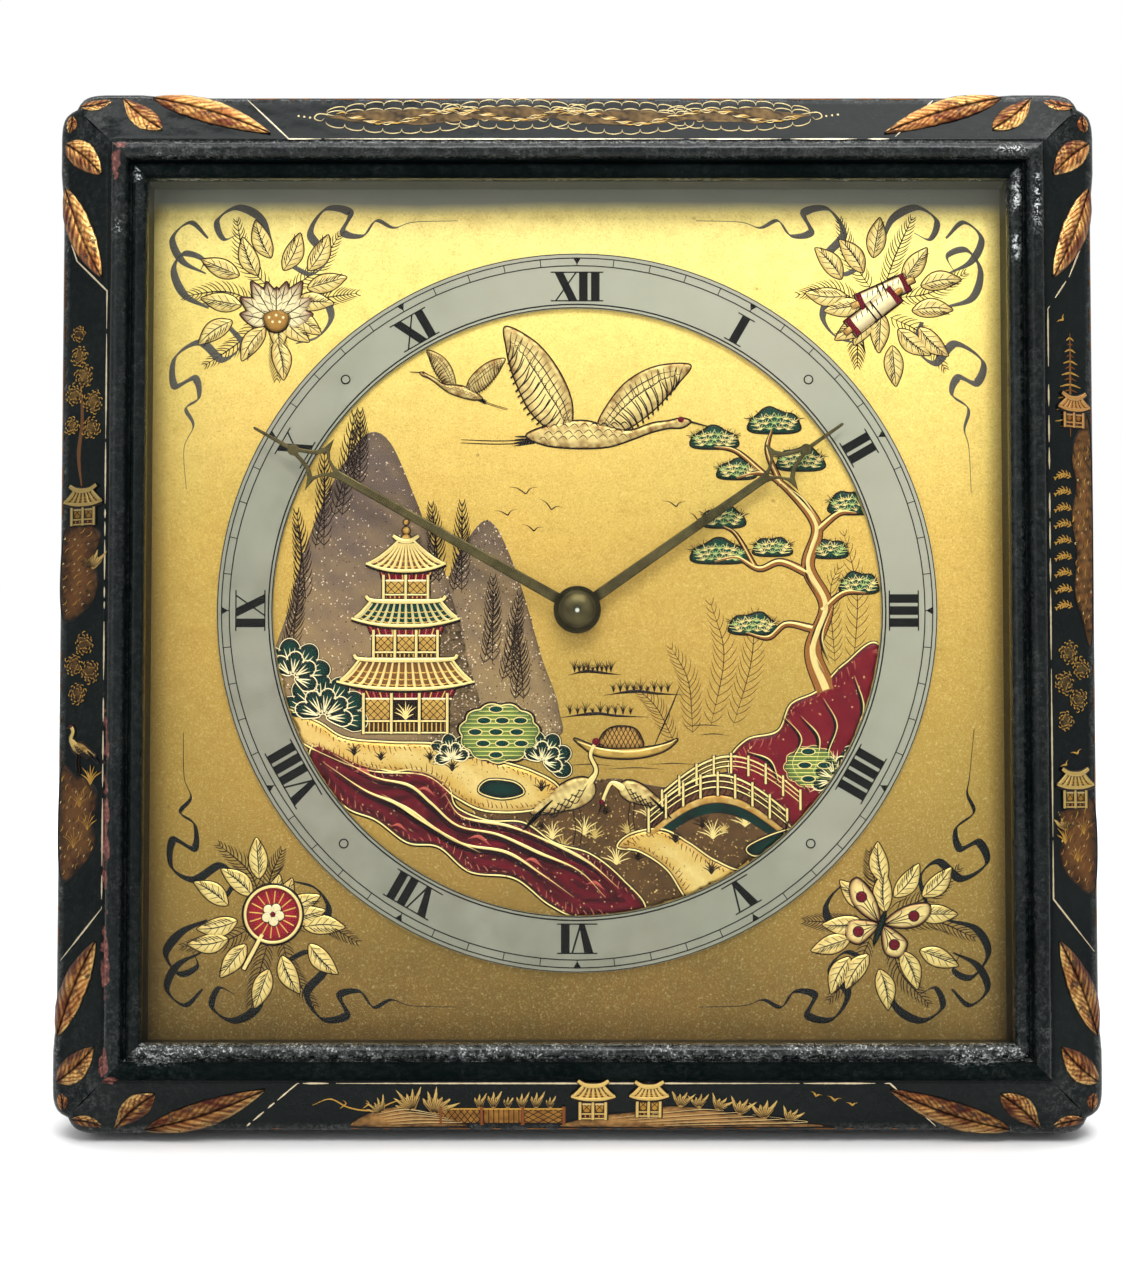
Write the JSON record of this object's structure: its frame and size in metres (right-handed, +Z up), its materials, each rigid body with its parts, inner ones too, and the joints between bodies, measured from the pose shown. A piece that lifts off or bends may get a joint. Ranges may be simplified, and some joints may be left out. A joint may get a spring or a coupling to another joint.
{
  "type": "strut clock",
  "caption": "Square lacquered strut clock with carved corners, a gilt pictorial dial behind glass, pierced hands, a drum movement and a folding rear strut.",
  "frame": {"origin": "on the floor, under the middle of the clock as it stands on its strut", "axes": "+X to the right as the dial is seen, +Y from the dial to the strut, +Z up"},
  "size_m": [0.2314, 0.092, 0.2286],
  "materials": {
    "lacquer": "black lacquer, aged",
    "carved_gilt": "carved, gilt over red",
    "glass": "flat, clear",
    "slips": "black stained",
    "gilt_dial": "matt gilt",
    "silvered": "silvered, matt",
    "plain_wood": "bare",
    "back_lacquer": "black lacquer, satin",
    "brass": "polished, lightly tarnished",
    "steel": "polished",
    "screws": "dull",
    "bronzed": "bronzed"
  },
  "bodies": {
    "clock": {"frame_top_rail": "lacquer", "frame_right_rail": "lacquer", "frame_bottom_rail": "lacquer", "frame_left_rail": "lacquer", "leaves_top_left": "carved_gilt", "leaves_top_right": "carved_gilt", "leaves_bottom_left": "carved_gilt", "leaves_bottom_right": "carved_gilt", "glass": "glass", "glass_slips": "slips", "dial_plate": "gilt_dial", "chapter_ring": "silvered", "ring_pins": "silvered", "dial_fillets": "plain_wood", "backboard": "back_lacquer", "board_screws": "screws", "drum_case": "brass", "drum_cover": "brass", "flange_screws": "screws", "cover_screws": "screws", "front_plate": "brass", "back_plate": "brass", "pillars": "brass", "plate_screws": "steel", "minute_stud": "steel", "click": "steel", "lever_stud": "steel", "strut_brackets": "brass", "strut_pins": "steel", "bracket_screws": "screws"},
    "minute_arbor": {"centre_arbor": "steel", "centre_wheel": "brass", "cannon_pinion": "steel", "minute_hand": "bronzed", "hand_nut": "bronzed", "set_knob": "brass"},
    "minute_wheel": {"minute_wheel": "brass"},
    "hour_pipe": {"hour_wheel": "brass", "hour_hand": "bronzed"},
    "going_barrel": {"barrel": "brass"},
    "third_arbor": {"third_wheel": "brass"},
    "winding_arbor": {"barrel_arbor": "steel", "ratchet_wheel": "steel", "winding_key": "brass"},
    "regulator": {"regulator_lever": "steel"},
    "strut": {"strut": "back_lacquer"}
  },
  "joints": [
    {"name": "minute_hand_turn", "type": "hinge", "parent": "clock", "child": "minute_arbor", "pos_m": [0, -0.00336, 0.11267], "axis": [0, 0.9781, -0.2079], "continuous": true},
    {"name": "minute_wheel_turn", "type": "hinge", "parent": "clock", "child": "minute_wheel", "pos_m": [-0.008, -0.00336, 0.11267], "axis": [0, 0.9781, -0.2079], "continuous": true},
    {"name": "hour_hand_turn", "type": "hinge", "parent": "clock", "child": "hour_pipe", "pos_m": [0, -0.00336, 0.11267], "axis": [0, 0.9781, -0.2079], "continuous": true},
    {"name": "barrel_turn", "type": "hinge", "parent": "clock", "child": "going_barrel", "pos_m": [0, 0.00342, 0.09646], "axis": [0, 0.9781, -0.2079], "continuous": true},
    {"name": "third_wheel_turn", "type": "hinge", "parent": "clock", "child": "third_arbor", "pos_m": [0, 0.00868, 0.12121], "axis": [0, 0.9781, -0.2079], "continuous": true},
    {"name": "winding_key_turn", "type": "hinge", "parent": "clock", "child": "winding_arbor", "pos_m": [0, 0.0132, 0.09438], "axis": [0, 0.9781, -0.2079], "continuous": true},
    {"name": "regulator_swing", "type": "hinge", "parent": "clock", "child": "regulator", "pos_m": [0, 0.02009, 0.122], "axis": [0, 0.9781, -0.2079], "range_deg": [-15, 15]},
    {"name": "strut_fold", "type": "hinge", "parent": "clock", "child": "strut", "pos_m": [0, 0.01314, 0.15517], "axis": [1, 0, 0], "range_deg": [-22.81, 0]}
  ],
  "couplings": [
    {"joint": "minute_wheel_turn", "follows": "minute_hand_turn", "ratio": -0.33333},
    {"joint": "hour_hand_turn", "follows": "minute_hand_turn", "ratio": 0.083333},
    {"joint": "barrel_turn", "follows": "minute_hand_turn", "ratio": -0.2},
    {"joint": "third_wheel_turn", "follows": "minute_hand_turn", "ratio": -8}
  ]
}
